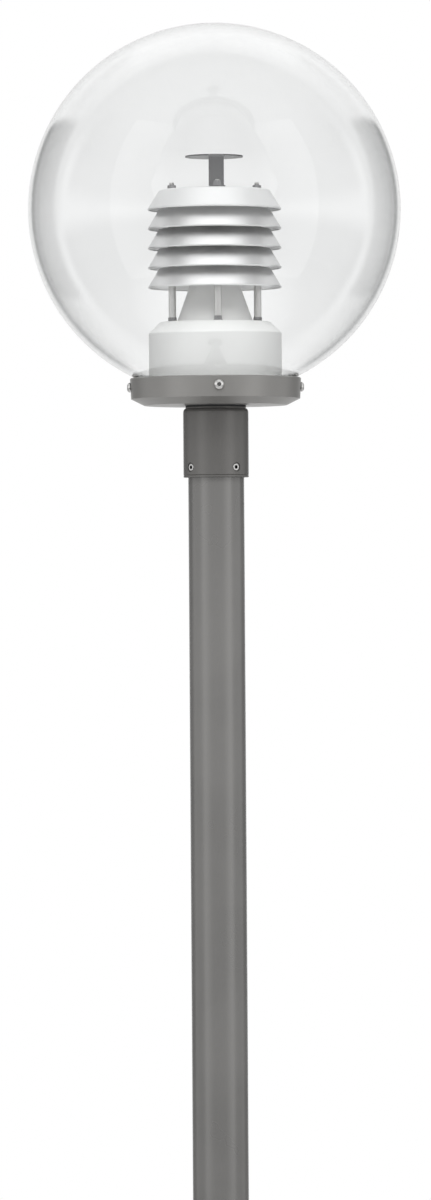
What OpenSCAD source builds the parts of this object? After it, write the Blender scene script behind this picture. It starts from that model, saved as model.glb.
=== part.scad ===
// Globe street lamp: a clear globe on a cast canopy, with a louvred optic over its gear housing,
// on a plain round pole with a base flange. Millimetres, +Z up, origin under the pole's axis.

/* [Pole] */
// Outer diameter of the pole tube
pole_d = 60; // [48:1:72]
// Wall thickness of the pole tube
pole_wall = 3; // [2:0.5:5]
// Length of the pole tube, from the ground to its top end
pole_len = 2012; // [1000:4:4000]
// Chamfer on the outer edge of the tube's two ends
pole_chamfer = 0.6; // [0.2:0.1:1]

/* [Base flange] */
// Diameter of the round base flange
base_d = 250; // [230:5:320]
// Thickness of the base flange
base_t = 12; // [8:1:20]
// Rounding of the flange's upper edge
base_round = 3; // [1:0.5:6]
// Leg of the weld bead round the foot of the pole
weld_leg = 6; // [3:0.5:8]
// Diameter of the circle on which the anchor holes lie
anchor_circle_d = 200; // [130:5:210]
// Number of anchor holes
anchor_count = 4; // [3:1:8]
// Diameter of each anchor hole
anchor_hole_d = 14; // [10:1:18]

/* [Pole-top sleeve] */
// Wall thickness of the cast sleeve
sleeve_wall = 4.75; // [3.5:0.25:8]
// Length of pole that the sleeve covers
sleeve_grip = 67; // [50:1:90]
// Thickness of the sleeve's closed head above the pole's end
sleeve_head_t = 8.3; // [7:0.1:14]
// Radius of the sleeve's rounded upper shoulder
sleeve_round = 5; // [3:0.5:6]
// Step in from the sleeve's side to its neck under the canopy
sleeve_neck_step = 2.6; // [1.5:0.1:3]
// Height of that neck
sleeve_neck_h = 1.2; // [0.6:0.1:2]
// Height of the lip below the line round the sleeve's lower edge
sleeve_lip_h = 2.4; // [1.5:0.1:4]
// Depth of that line
sleeve_line_depth = 0.5; // [0.2:0.1:0.8]
// Height of the set screws above the sleeve's lower edge
set_screw_height = 10.6; // [9:0.1:30]
// Azimuth of the first set screw, from the front towards the right
set_screw_azimuth = 38.5; // [-90:0.5:90]
// Thread diameter of the set screws
set_screw_d = 8; // [5:1:8]
// Width across the flats of a set screw's socket
set_screw_socket = 4; // [2.5:0.5:4]
// Diameter of the recess round each set screw
set_recess_d = 10.5; // [9.5:0.5:13]
// Depth of that recess
set_recess_depth = 1.2; // [0.6:0.1:2]
// Thickness of the gasket between the sleeve and the canopy
sleeve_gasket_t = 2; // [1.8:0.1:4]

/* [Canopy] */
// Overall height of the cast canopy
canopy_h = 29.5; // [28:0.5:45]
// Wall thickness of the canopy's rim
canopy_wall = 3.75; // [3:0.25:6]
// Thickness of the canopy's floor
canopy_floor_t = 5; // [4:0.5:6]
// Draft of the side wall, as the step in from its top to its bottom
canopy_draft = 1; // [0:0.25:1.5]
// Height of the slanted lower edge
canopy_slant_h = 7; // [5:0.5:7]
// Width of the slanted lower edge
canopy_slant_w = 14; // [10:0.5:15]
// Height of the four bosses for the tie rods
boss_h = 8; // [7.5:0.5:12]
// Diameter of those bosses
boss_d = 12; // [10:0.5:14]
// Height of the low ring that centres the gear housing
spigot_h = 3; // [2:0.5:5]
// Wall of that ring
spigot_wall = 3.2; // [2:0.2:4]
// Diameter of the cable hole through the floor and the sleeve's head
cable_hole_d = 22; // [18:1:24]
// Number of bolts that hold the canopy on the sleeve
canopy_bolt_count = 3; // [3:1:6]
// Radius of the circle of those bolts
canopy_bolt_circle_r = 22; // [21:0.5:22.5]

/* [Globe] */
// Outer diameter of the globe
globe_d = 400; // [320:10:440]
// Wall thickness of the globe
globe_wall = 3; // [2:0.25:4]
// Outer diameter of the globe's neck
neck_d = 164; // [160:1:172]
// Depth of the neck's lower edge below the canopy's rim
neck_depth = 17.5; // [15:0.5:18.5]
// Depth below the rim at which the sphere runs into the neck
globe_sink = 2; // [0.5:0.25:2.5]
// Width of the bead round the foot of the neck
bead_w = 4.5; // [3.5:0.5:6]
// Height of that bead
bead_h = 3.5; // [2.5:0.5:4]
// Thickness of the flat gasket under the neck
globe_gasket_t = 3; // [2:0.5:4]
// Thread diameter of the screws that hold the globe
globe_screw_d = 6; // [4:1:6]
// Length of those screws under the head
globe_screw_len = 8; // [7:0.5:9]
// Diameter of their button heads
globe_head_d = 10.5; // [8:0.5:11]
// Height of their button heads
globe_head_h = 3.3; // [2:0.1:4]
// Width across the flats of their sockets
globe_socket = 4; // [2.5:0.5:4]
// Azimuth of the first globe screw, from the front towards the right
globe_screw_azimuth = 2.3; // [-45:0.1:45]

/* [Gear housing] */
// Outer radius of the gear housing
housing_r = 71.25; // [70:0.25:73]
// Height of the gear housing above the canopy's floor
housing_h = 84.5; // [82:0.5:110]
// Sheet thickness of the gear housing
housing_t = 1.5; // [1:0.1:2]
// Width of its slanted shoulder
shoulder_w = 12.5; // [8:0.5:14]
// Height of that shoulder
shoulder_h = 12; // [8:0.5:16]
// Outside radius of the bends above and below the shoulder
shoulder_bend = 3; // [2.5:0.25:4]

/* [Control gear] */
// Sheet thickness of the gear tray
tray_t = 1.5; // [1:0.1:2.5]
// Height of the tray's turned-up edge
tray_lip_h = 4; // [2.5:0.5:8]
// Diameter of the cable hole through the tray
tray_hole_d = 12; // [8:1:13]
// Length of the ballast's core
core_l = 54; // [40:1:56]
// Width of the ballast's core
core_w = 48; // [40:1:49]
// Height of the ballast's core
core_h = 42; // [34:1:46]
// Length by which the winding stands out of each end of the core
winding_out = 9; // [6:0.5:9.5]
// Thickness of the mounting strap under the ballast
strap_t = 2; // [1:0.5:3]
// Width of that strap
strap_w = 11; // [9:0.5:11.5]
// Diameter of the capacitor
capacitor_d = 28; // [24:1:30]
// Height of the capacitor
capacitor_h = 52; // [40:1:58]
// Diameter of the ignitor
ignitor_d = 30; // [24:1:31]
// Height of the ignitor
ignitor_h = 40; // [30:1:55]
// Length of the terminal block
block_l = 30; // [24:1:32]
// Width of the terminal block
block_w = 17; // [14:1:18]
// Height of the terminal block
block_h = 15; // [12:1:20]
// Number of poles in the terminal block
block_poles = 3; // [2:1:4]

/* [Lampholder and lamp] */
// Depth of the lampholder's foot below the top of the gear housing
holder_sink = 20; // [16:0.5:22]
// Height of the lampholder
holder_h = 50; // [46:1:54]
// Outer diameter of the lampholder
holder_d = 44; // [40:1:46]
// Thickness of the holder bracket
bracket_t = 2; // [1:0.25:2.5]
// Width of the holder bracket
bracket_w = 22; // [16:1:26]
// Overall length of the lamp
lamp_len = 130; // [110:1:140]
// Greatest diameter of the lamp's bulb
lamp_d = 55; // [40:1:60]

/* [Louvre optic] */
// Radius of the circle of tie rods
rod_circle_r = 45.8; // [45.2:0.1:47]
// Diameter of the tie rods
rod_d = 5; // [4:0.5:5]
// Azimuth of the front tie rod, from the front towards the right
rod_azimuth = 3.9; // [-10:0.1:10]
// Outer diameter of the spacer tubes on the rods
spacer_d = 8; // [7.5:0.5:9]
// Distance from one louvre ring to the next
ring_pitch = 21; // [17:0.5:24]
// Height of the lowest ring's rim above the gear housing
ring_lift = 36.2; // [30:0.2:50]
// Radius of the louvre rings' outer rim
ring_r = 71.5; // [68:0.5:73]
// Radius at which a ring's flat flange turns down into its skirt
ring_fold_r = 59.5; // [57:0.5:63]
// Radius of the hole in a ring's flange
ring_bore_r = 38.5; // [34:0.5:40]
// Overall height of a ring
ring_h = 21.5; // [18:0.5:24]
// Height of the upright lip round a ring's rim
ring_lip_h = 1.5; // [1:0.1:2.5]
// Inside radius of a ring's fold
ring_bend_in_r = 0.8; // [0.5:0.1:2]
// Sheet thickness of the rings and the cap
ring_t = 1.2; // [0.8:0.1:1.5]
// Overall height of the closed cap
cap_h = 21.5; // [18:0.5:26]
// Radius at which the cap's top turns down into its skirt
cap_fold_r = 59; // [57:0.5:61]
// Rounding between the cap's top and its skirt
cap_round = 4; // [2:0.5:6]
// Height of the cone reflector
cone_h = 40.7; // [34:0.1:44]
// Inner radius of the cone reflector's upper mouth
cone_mouth_r = 25.4; // [24:0.2:30]
// Sheet thickness of the cone reflector
cone_t = 1; // [0.6:0.1:1.5]

/* [Heat deflector] */
// Diameter of the deflector's disc
disc_d = 62; // [50:1:66]
// Height of the disc's top above the cap
disc_rise = 36.5; // [25:0.5:60]
// Sheet thickness of the deflector
deflector_t = 1.5; // [1:0.1:2.5]
// Width of its upright strip
strip_w = 16.2; // [12:0.2:20]
// Distance of the upright strip from the lamp's axis
strip_out = 33; // [32:0.5:36]
// Inside radius of its folds
fold_r = 2; // [1:0.5:3]

/* [Fasteners and fits] */
// Width across the flats of the tie rods' nuts
rod_nut_af = 8; // [7:1:8]
// Height of those nuts
rod_nut_h = 4; // [3:0.5:5]
// Diameter of the washers on the tie rods
washer_d = 10; // [9.5:0.5:10]
// Thickness of those washers
washer_t = 1; // [0.6:0.1:1.6]
// Radial room between the pole and the sleeve
sleeve_fit = 0.25; // [0.1:0.05:0.5]
// Radial room between a screw and its tapped hole
thread_fit = 0.05; // [0.02:0.01:0.1]
// Radial room between a screw and a plain hole
hole_fit = 0.3; // [0.2:0.05:0.5]
// Room between neighbouring pieces that don't touch
air = 0.3; // [0.2:0.05:0.6]

/* [Hidden] */
$fn = 96;

// Small numbers shared by many cuts
cut = 1;
screw_fn = 32;
edge = 0.5;

// The pole and the sleeve
pole_r = pole_d / 2;
sleeve_bore_r = pole_r + sleeve_fit;
sleeve_r = sleeve_bore_r + sleeve_wall;
sleeve_neck_r = sleeve_r - sleeve_neck_step;
sleeve_len = sleeve_grip + sleeve_head_t;
set_screw_count = 4;
cable_r = cable_hole_d / 2;
z_sleeve = pole_len - sleeve_grip;
z_sleeve_top = z_sleeve + sleeve_len;

// The globe's neck sets the canopy's rim
globe_r = globe_d / 2;
neck_r = neck_d / 2;
neck_in_r = neck_r - globe_wall;
bead_r = neck_r + bead_w;
bead_room = 1.5;
canopy_in_r = bead_r + bead_room;
canopy_r = canopy_in_r + canopy_wall;
canopy_side_h = canopy_h - canopy_slant_h;
canopy_foot_r = canopy_r - canopy_draft - canopy_slant_w;
z_canopy = z_sleeve_top + sleeve_gasket_t;
z_floor = z_canopy + canopy_floor_t;
z_rim = z_canopy + canopy_h;
globe_rise = sqrt(globe_r * globe_r - neck_r * neck_r) - globe_sink;
z_globe = z_rim + globe_rise;
ledge_z = canopy_h - neck_depth - globe_gasket_t;
ledge_room = 1.75;
ledge_r = housing_r + ledge_room;

// The globe's screws pass over its bead
over_bead = 1;
globe_screw_count = 4;
globe_screw_drop = neck_depth - bead_h - globe_screw_d / 2 - over_bead;
head_drop = max(globe_screw_drop - globe_head_d / 2, 0);
globe_head_seat = canopy_r - canopy_draft * head_drop / canopy_side_h + thread_fit;

// The canopy's bolts and the cable grommet
bolt_d = 6;
bolt_head_d = 10;
bolt_head_h = 6;
bolt_socket = 5;
bolt_short = 0.8;
grommet_lip = 3;
grommet_lip_t = 1.4;
grommet_hole_d = 12;
grommet_r = cable_r + grommet_lip;
gasket_bore_r = grommet_r + edge;

// The tie rods
rod_angle = rod_azimuth - 90;
rod_count = 4;
rod_r = rod_d / 2;
rod_engage = 7;
rod_hole_r = rod_r + hole_fit;
rod_over = 1.5;

// The gear tray and what it carries
tray_room = 2.75;
tray_r = housing_r - housing_t - tray_room;
z_tray = z_floor + boss_h;
z_gear = z_tray + tray_t;
core_y = -14;
window_w = 28;
window_h = 20;
winding_flare = 9;
winding_corner = 4;
strap_out = 9;
ballast_screw_x = core_l / 2 + winding_out + strap_out / 2;
strap_l = 2 * (core_l / 2 + winding_out + strap_out);
tray_hole_r = 57.5;
tray_hole_angle = 194;
capacitor_x = 35;
capacitor_y = 34;
ignitor_x = -34.5;
ignitor_y = 33.5;
stud_d = 8;
stud_nut_af = 13;
stud_nut_h = 5;
stud_out = 0.8;
block_y = 26;
block_screw_d = 3;
block_screw_head_h = 2;
block_screw_head_d = 5.5;
block_screw_socket = 2;
block_screw_below = 1;
clamp_slot = 0.8;
wire_way_d = 4;
clamp_well_d = 5;
clamp_y = 5;
earth_r = 59.5;
earth_angle = -46.5;
gear_screw_d = 5;
gear_head_d = 8;
gear_head_h = 3;
gear_socket = 3;
gear_screw_below = 4;

// The lampholder stands in its bracket under the housing's top
z_housing_top = z_floor + housing_h;
z_holder = z_housing_top - holder_sink;
holder_r = holder_d / 2;
holder_foot_h = 10;
cup_r = 15;
shell_t = 1.2;
shell_h = 26;
contact_h = 2.5;
lamp_cap_r = 13.2;
lamp_neck_r = 14.2;
lamp_cap_h = 25;
lamp_neck_h = 44;
lamp_belly_h = 78;
z_lamp = z_holder + holder_foot_h + contact_h;
bracket_foot = 10;
bracket_side = 5;
bracket_leg_x = holder_r + bracket_side;
bracket_screw_x = bracket_leg_x + bracket_foot * 0.55;
bracket_screw_d = 4;
bracket_head_d = 7;
bracket_head_h = 2.4;
bracket_socket = 2.5;

// The cone reflector stands inside the washers at the rods' feet
cone_foot_r = rod_circle_r - washer_d / 2 - air;
cone_flange_r = 30;

// The louvre stack, four open rings and the closed cap, counted up from the lowest ring
ring_count = 4;
function z_ring(i) = z_housing_top + ring_lift + (i - 1) * ring_pitch;
function z_flange(i) = z_ring(i) + ring_h;
z_cap = z_ring(ring_count + 1);
z_cap_top = z_cap + cap_h;
z_spacer_foot = z_housing_top + washer_t + rod_nut_h;
z_rod_foot = z_tray - rod_engage;
z_rod_top = z_cap_top + deflector_t + washer_t + rod_nut_h + rod_over;

// Points of a round, from one angle to another
function arc(x, y, r, from, to, n = 10) =
  [for (i = [0:n]) let (a = from + (to - from) * i / n) [x + r * cos(a), y + r * sin(a)]];

// Puts its children on a circle, each turned to face outwards
module around(count, r, first = 0) {
  for (i = [0:count - 1])
    rotate([0, 0, first + i * 360 / count])
      translate([r, 0, 0]) children();
}

// A plain ring or washer
module ring(outer_r, inner_r, h) {
  difference() {
    cylinder(r = outer_r, h = h);
    translate([0, 0, -cut]) cylinder(r = inner_r, h = h + 2 * cut);
  }
}

// A hexagonal prism across its flats
module hexagon(af, h) {
  cylinder(d = af / cos(30), h = h, $fn = 6);
}

// A hexagonal nut with its two rims turned down
module nut(af, bore_r, h) {
  corner_r = af / 2 / cos(30);
  turned = (corner_r - af / 2) * 0.6;
  difference() {
    intersection() {
      hexagon(af, h);
      rotate_extrude($fn = screw_fn)
        polygon([[0, 0], [af / 2, 0], [corner_r, turned], [corner_r, h - turned], [af / 2, h], [0, h]]);
    }
    translate([0, 0, -cut]) cylinder(r = bore_r, h = h + 2 * cut, $fn = screw_fn);
  }
}

// A screw along +Z with a domed head above z = 0 and a hexagonal socket in it
module button_screw(d, length, head_d, head_h, socket) {
  dome_r = head_d / 2;
  rim_h = head_h * 0.2;
  difference() {
    union() {
      rotate_extrude($fn = screw_fn)
        polygon(concat([[0, 0], [dome_r, 0]],
          [for (i = [0:6]) [dome_r * cos(i * 10), rim_h + (head_h - rim_h) * sin(i * 10) / sin(60)]],
          [[0, head_h]]));
      translate([0, 0, -length + edge]) cylinder(d = d, h = length, $fn = screw_fn);
      translate([0, 0, -length]) cylinder(d1 = d - 2 * edge, d2 = d, h = edge, $fn = screw_fn);
    }
    translate([0, 0, head_h - socket / 2]) hexagon(socket, socket);
  }
}

// A screw along +Z with a straight head above z = 0 and a hexagonal socket in it
module cap_screw(d, length, head_d, head_h, socket) {
  difference() {
    union() {
      cylinder(d = head_d, h = head_h - edge, $fn = screw_fn);
      translate([0, 0, head_h - edge])
        cylinder(d1 = head_d, d2 = head_d - 2 * edge, h = edge, $fn = screw_fn);
      translate([0, 0, -length]) cylinder(d = d, h = length + edge, $fn = screw_fn);
    }
    translate([0, 0, head_h / 2]) hexagon(socket, head_h);
  }
}

module base_flange() {
  bore_r = pole_r + thread_fit;
  flange_r = base_d / 2;
  color("dimgray")
  difference() {
    rotate_extrude()
      polygon(concat([[bore_r, 0], [flange_r - edge, 0], [flange_r, edge]],
        arc(flange_r - base_round, base_t - base_round, base_round, 0, 90, 6),
        [[bore_r + weld_leg, base_t], [bore_r, base_t + weld_leg]]));
    around(anchor_count, anchor_circle_d / 2, 45)
      translate([0, 0, -cut]) cylinder(d = anchor_hole_d, h = base_t + 2 * cut);
  }
}

module pole_tube() {
  bore_r = pole_r - pole_wall;
  color("gray")
  rotate_extrude()
    polygon([[bore_r, 0], [pole_r - pole_chamfer, 0], [pole_r, pole_chamfer],
      [pole_r, pole_len - pole_chamfer], [pole_r - pole_chamfer, pole_len], [bore_r, pole_len]]);
}

// The sleeve's section, from the lower edge of its bore round the outside and back
function sleeve_section() =
  let (shoulder = acos(1 - sleeve_neck_step / sleeve_round),
       shoulder_z = sleeve_len - sleeve_neck_h - sleeve_round * sin(shoulder),
       line_z = sleeve_lip_h)
  concat([[sleeve_bore_r + edge, 0], [sleeve_r - edge, 0], [sleeve_r, edge],
    [sleeve_r, line_z - sleeve_line_depth], [sleeve_r - sleeve_line_depth, line_z],
    [sleeve_r, line_z + sleeve_line_depth]],
    arc(sleeve_r - sleeve_round, shoulder_z, sleeve_round, 0, shoulder, 8),
    [[sleeve_neck_r, sleeve_len], [cable_r, sleeve_len], [cable_r, sleeve_grip],
    [sleeve_bore_r, sleeve_grip], [sleeve_bore_r, edge]]);

module pole_sleeve() {
  color("gray")
  translate([0, 0, z_sleeve])
  difference() {
    rotate_extrude() polygon(sleeve_section());
    around(set_screw_count, 0, set_screw_azimuth - 90)
      translate([pole_r - cut, 0, set_screw_height])
        rotate([0, 90, 0]) {
          cylinder(r = set_screw_d / 2 + thread_fit, h = sleeve_r - pole_r + 2 * cut);
          translate([0, 0, sleeve_r - pole_r + cut - set_recess_depth])
            cylinder(d = set_recess_d, h = sleeve_wall);
        }
    around(canopy_bolt_count, canopy_bolt_circle_r, 90)
      translate([0, 0, sleeve_grip - cut])
        cylinder(r = bolt_d / 2 + thread_fit, h = sleeve_head_t + 2 * cut);
  }
}

module sleeve_set_screws() {
  screw_len = sleeve_r - set_recess_depth * 0.5 - pole_r - thread_fit;
  color("silver")
  translate([0, 0, z_sleeve + set_screw_height])
    around(set_screw_count, pole_r + thread_fit, set_screw_azimuth - 90)
      rotate([0, 90, 0])
        difference() {
          union() {
            cylinder(d1 = set_screw_d - 2 * edge, d2 = set_screw_d, h = edge, $fn = screw_fn);
            translate([0, 0, edge])
              cylinder(d = set_screw_d, h = screw_len - 2 * edge, $fn = screw_fn);
            translate([0, 0, screw_len - edge])
              cylinder(d1 = set_screw_d, d2 = set_screw_d - 2 * edge, h = edge, $fn = screw_fn);
          }
          translate([0, 0, screw_len * 0.45]) hexagon(set_screw_socket, screw_len);
        }
}

module sleeve_gasket() {
  color("black")
  translate([0, 0, z_sleeve_top])
  difference() {
    ring(sleeve_neck_r, gasket_bore_r, sleeve_gasket_t);
    around(canopy_bolt_count, canopy_bolt_circle_r, 90)
      translate([0, 0, -cut])
        cylinder(r = bolt_d / 2 + hole_fit, h = sleeve_gasket_t + 2 * cut, $fn = screw_fn);
  }
}

// The canopy's section, from the cable hole out along the underside and back over the floor
function canopy_section() =
  let (spigot_r = housing_r - housing_t - air)
  [[cable_r, 0], [canopy_foot_r, 0], [canopy_r - canopy_draft, canopy_slant_h],
   [canopy_r, canopy_h - edge * 2], [canopy_r - edge * 2, canopy_h],
   [canopy_in_r + edge, canopy_h], [canopy_in_r, canopy_h - edge],
   [canopy_in_r, ledge_z], [ledge_r, ledge_z], [ledge_r, canopy_floor_t],
   [spigot_r, canopy_floor_t], [spigot_r, canopy_floor_t + spigot_h],
   [spigot_r - spigot_wall, canopy_floor_t + spigot_h], [spigot_r - spigot_wall, canopy_floor_t],
   [cable_r, canopy_floor_t]];

module canopy() {
  color("dimgray")
  translate([0, 0, z_canopy])
  difference() {
    union() {
      rotate_extrude() polygon(canopy_section());
      around(rod_count, rod_circle_r, rod_angle)
        translate([0, 0, canopy_floor_t - edge])
          cylinder(d = boss_d, h = boss_h + edge);
    }
    around(rod_count, rod_circle_r, rod_angle)
      translate([0, 0, canopy_floor_t + boss_h - rod_engage - cut])
        cylinder(r = rod_r + thread_fit, h = rod_engage + 2 * cut, $fn = screw_fn);
    around(canopy_bolt_count, canopy_bolt_circle_r, 90)
      translate([0, 0, -cut])
        cylinder(r = bolt_d / 2 + hole_fit, h = canopy_floor_t + 2 * cut, $fn = screw_fn);
    around(globe_screw_count, canopy_in_r - cut, globe_screw_azimuth - 90)
      translate([0, 0, canopy_h - globe_screw_drop])
        rotate([0, 90, 0])
          cylinder(r = globe_screw_d / 2 + thread_fit, h = canopy_wall + 2 * cut, $fn = screw_fn);
  }
}

module canopy_bolts() {
  shank = canopy_floor_t + sleeve_gasket_t + sleeve_head_t - bolt_short;
  color("silver")
  translate([0, 0, z_floor])
    around(canopy_bolt_count, canopy_bolt_circle_r, 90)
      cap_screw(bolt_d, shank, bolt_head_d, bolt_head_h, bolt_socket);
}

module cable_grommet() {
  groove_r = cable_r - thread_fit;
  hole_r = grommet_hole_d / 2;
  color("black")
  translate([0, 0, z_canopy])
  rotate_extrude()
    polygon([[hole_r, -grommet_lip_t], [grommet_r, -grommet_lip_t], [grommet_r, 0], [groove_r, 0],
      [groove_r, canopy_floor_t], [grommet_r, canopy_floor_t],
      [grommet_r - edge, canopy_floor_t + grommet_lip_t], [hole_r, canopy_floor_t + grommet_lip_t]]);
}

module globe_gasket() {
  color("whitesmoke")
  translate([0, 0, z_canopy + ledge_z])
    ring(canopy_in_r - edge, ledge_r + edge, globe_gasket_t);
}

// A blown sphere whose neck ends in a bead that the screws hold down
module globe() {
  neck_top = sqrt(globe_r * globe_r - neck_r * neck_r);
  neck_h = neck_depth - globe_sink;
  color("lightcyan", 0.3)
  translate([0, 0, z_globe])
  difference() {
    union() {
      sphere(r = globe_r, $fn = 180);
      translate([0, 0, -neck_top - neck_h]) cylinder(r = neck_r, h = neck_h + cut, $fn = 180);
      translate([0, 0, -neck_top - neck_h])
        rotate_extrude($fn = 180)
          polygon(concat([[neck_in_r, 0], [bead_r - edge, 0], [bead_r, edge]],
            arc(bead_r - edge, bead_h - edge, edge, 0, 90, 4), [[neck_in_r, bead_h]]));
    }
    sphere(r = globe_r - globe_wall, $fn = 180);
    translate([0, 0, -globe_r - cut]) cylinder(r = neck_in_r, h = globe_r, $fn = 180);
  }
}

module globe_screws() {
  color("silver")
  translate([0, 0, z_rim - globe_screw_drop])
    around(globe_screw_count, globe_head_seat, globe_screw_azimuth - 90)
      rotate([0, 90, 0])
        button_screw(globe_screw_d, globe_screw_len, globe_head_d, globe_head_h, globe_socket);
}

// Where the terminal block's fixing screws pass, between its outer poles
function block_screw_xs() = [for (side = [-1, 1]) side * (block_l / 2 - block_l / block_poles)];

// The drilled disc under the control gear, with its edge turned up
module gear_tray() {
  color("lightsteelblue")
  translate([0, 0, z_tray])
  difference() {
    rotate_extrude()
      polygon([[0, 0], [tray_r - edge, 0], [tray_r, edge], [tray_r, tray_lip_h],
        [tray_r - tray_t, tray_lip_h], [tray_r - tray_t, tray_t], [0, tray_t]]);
    translate([0, 0, -cut]) {
      around(rod_count, rod_circle_r, rod_angle)
        cylinder(r = rod_hole_r, h = tray_t + 2 * cut, $fn = screw_fn);
      around(1, tray_hole_r, tray_hole_angle) cylinder(d = tray_hole_d, h = tray_t + 2 * cut);
      around(1, earth_r, earth_angle)
        cylinder(r = gear_screw_d / 2 + thread_fit, h = tray_t + 2 * cut, $fn = screw_fn);
      for (side = [-1, 1])
        translate([side * ballast_screw_x, core_y, 0])
          cylinder(r = gear_screw_d / 2 + thread_fit, h = tray_t + 2 * cut, $fn = screw_fn);
      for (at = [[capacitor_x, capacitor_y], [ignitor_x, ignitor_y]])
        translate([at.x, at.y, 0])
          cylinder(r = stud_d / 2 + hole_fit, h = tray_t + 2 * cut, $fn = screw_fn);
      for (x = block_screw_xs())
        translate([x, block_y, 0])
          cylinder(r = block_screw_d / 2 + thread_fit, h = tray_t + 2 * cut, $fn = screw_fn);
    }
  }
}

module tray_nuts() {
  color("silver")
  translate([0, 0, z_gear])
    around(rod_count, rod_circle_r, rod_angle)
      nut(rod_nut_af, rod_r + thread_fit, rod_nut_h);
}

module ballast_core() {
  color("slategray")
  translate([0, core_y, z_gear])
  difference() {
    union() {
      translate([-core_l / 2, -core_w / 2, strap_t]) cube([core_l, core_w, core_h]);
      translate([-strap_l / 2, -strap_w / 2, 0]) cube([strap_l, strap_w, strap_t]);
    }
    translate([-core_l / 2 - cut, -window_w / 2, strap_t + (core_h - window_h) / 2])
      cube([core_l + 2 * cut, window_w, window_h]);
    for (side = [-1, 1])
      translate([side * ballast_screw_x, 0, -cut])
        cylinder(r = gear_screw_d / 2 + hole_fit, h = strap_t + 2 * cut, $fn = screw_fn);
  }
}

module ballast_winding() {
  neck_w = window_w - 2 * air;
  neck_h = window_h - 2 * air;
  side_x = (window_w + winding_flare) / 2;
  side_y = (window_h + winding_flare) / 2;
  color("darkgoldenrod")
  translate([0, core_y, z_gear + strap_t + core_h / 2]) {
    translate([-core_l / 2 - cut, -neck_w / 2, -neck_h / 2]) cube([core_l + 2 * cut, neck_w, neck_h]);
    for (side = [-1, 1])
      translate([side * (core_l / 2 + air / 2), 0, 0])
        rotate([90, 0, side * 90])
          linear_extrude(winding_out - air / 2)
            polygon([[-side_x, winding_corner - side_y], [winding_corner - side_x, -side_y],
              [side_x - winding_corner, -side_y], [side_x, winding_corner - side_y],
              [side_x, side_y - winding_corner], [side_x - winding_corner, side_y],
              [winding_corner - side_x, side_y], [-side_x, side_y - winding_corner]]);
  }
}

module ballast_screws() {
  color("silver")
  for (side = [-1, 1])
    translate([side * ballast_screw_x, core_y, z_gear + strap_t])
      button_screw(gear_screw_d, strap_t + gear_screw_below, gear_head_d, gear_head_h, gear_socket);
}

// A sealed can on a threaded stud that passes through the tray
module studded_can(d, h) {
  stud = tray_t + stud_nut_h + stud_out;
  bevel = 1;
  rim = 1.5;
  can_r = d / 2;
  rotate_extrude()
    polygon([[0, 0], [can_r - bevel, 0], [can_r, bevel], [can_r, h - rim - bevel],
      [can_r - rim, h - rim], [can_r - rim, h], [can_r - rim - bevel, h],
      [can_r - rim - bevel, h - rim], [0, h - rim]]);
  translate([0, 0, -stud]) cylinder(d = stud_d, h = stud + edge, $fn = screw_fn);
}

// A pair of flat push-on tabs
module tabs(spread) {
  tab_t = 0.8;
  tab_w = 6.3;
  tab_h = 8;
  for (side = [-1, 1])
    translate([side * spread / 2 - tab_t / 2, -tab_w / 2, 0]) cube([tab_t, tab_w, tab_h]);
}

module capacitor() {
  color("silver")
  translate([capacitor_x, capacitor_y, z_gear]) {
    studded_can(capacitor_d, capacitor_h);
    translate([0, 0, capacitor_h - 2]) tabs(9);
  }
}

module ignitor() {
  color("gray")
  translate([ignitor_x, ignitor_y, z_gear]) {
    studded_can(ignitor_d, ignitor_h);
    translate([0, 0, ignitor_h - 2]) tabs(12);
  }
}

module stud_nuts() {
  color("silver")
  for (at = [[capacitor_x, capacitor_y], [ignitor_x, ignitor_y]])
    translate([at.x, at.y, z_tray - stud_nut_h])
      nut(stud_nut_af, stud_d / 2 + thread_fit, stud_nut_h);
}

// A row of moulded clamps with a wire way through each and a screw well above it
module terminal_block() {
  pole_pitch = block_l / block_poles;
  color("ivory")
  translate([0, block_y, z_gear])
  difference() {
    translate([-block_l / 2, -block_w / 2, 0]) cube([block_l, block_w, block_h]);
    for (i = [0:block_poles - 1])
      translate([-block_l / 2 + (i + 0.5) * pole_pitch, 0, 0]) {
        for (side = [-1, 1]) {
          translate([0, side * (block_w / 2 + cut), block_h / 2])
            rotate([side * 90, 0, 0])
              cylinder(d = wire_way_d, h = block_w / 3, $fn = screw_fn);
          translate([0, side * clamp_y, block_h * 0.6])
            cylinder(d = clamp_well_d, h = block_h, $fn = screw_fn);
        }
      }
    for (x = block_screw_xs())
      translate([x, 0, -cut])
        cylinder(r = block_screw_d / 2 + hole_fit, h = block_h + 2 * cut, $fn = screw_fn);
  }
}

// The clamp screws sit in the wells, and one longer screw holds the block down
module terminal_screws() {
  pole_pitch = block_l / block_poles;
  color("goldenrod")
  translate([0, block_y, z_gear]) {
    for (i = [0:block_poles - 1], side = [-1, 1])
      translate([-block_l / 2 + (i + 0.5) * pole_pitch, side * clamp_y, block_h * 0.6])
        difference() {
          cylinder(r = clamp_well_d / 2 - thread_fit, h = block_h * 0.25, $fn = screw_fn);
          translate([-clamp_well_d / 2, -clamp_slot / 2, block_h * 0.2])
            cube([clamp_well_d, clamp_slot, block_h]);
        }
    for (x = block_screw_xs())
      translate([x, 0, block_h])
        button_screw(block_screw_d, block_h + tray_t + block_screw_below, block_screw_head_d,
          block_screw_head_h, block_screw_socket);
  }
}

module earth_screw() {
  washer_edge = 0.8;
  color("gold")
  around(1, earth_r, earth_angle)
    translate([0, 0, z_gear]) {
      ring(gear_head_d / 2 + washer_edge, gear_screw_d / 2 - thread_fit, washer_t);
      translate([0, 0, washer_t])
        button_screw(gear_screw_d, washer_t + gear_screw_below, gear_head_d, gear_head_h, gear_socket);
    }
}

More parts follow.
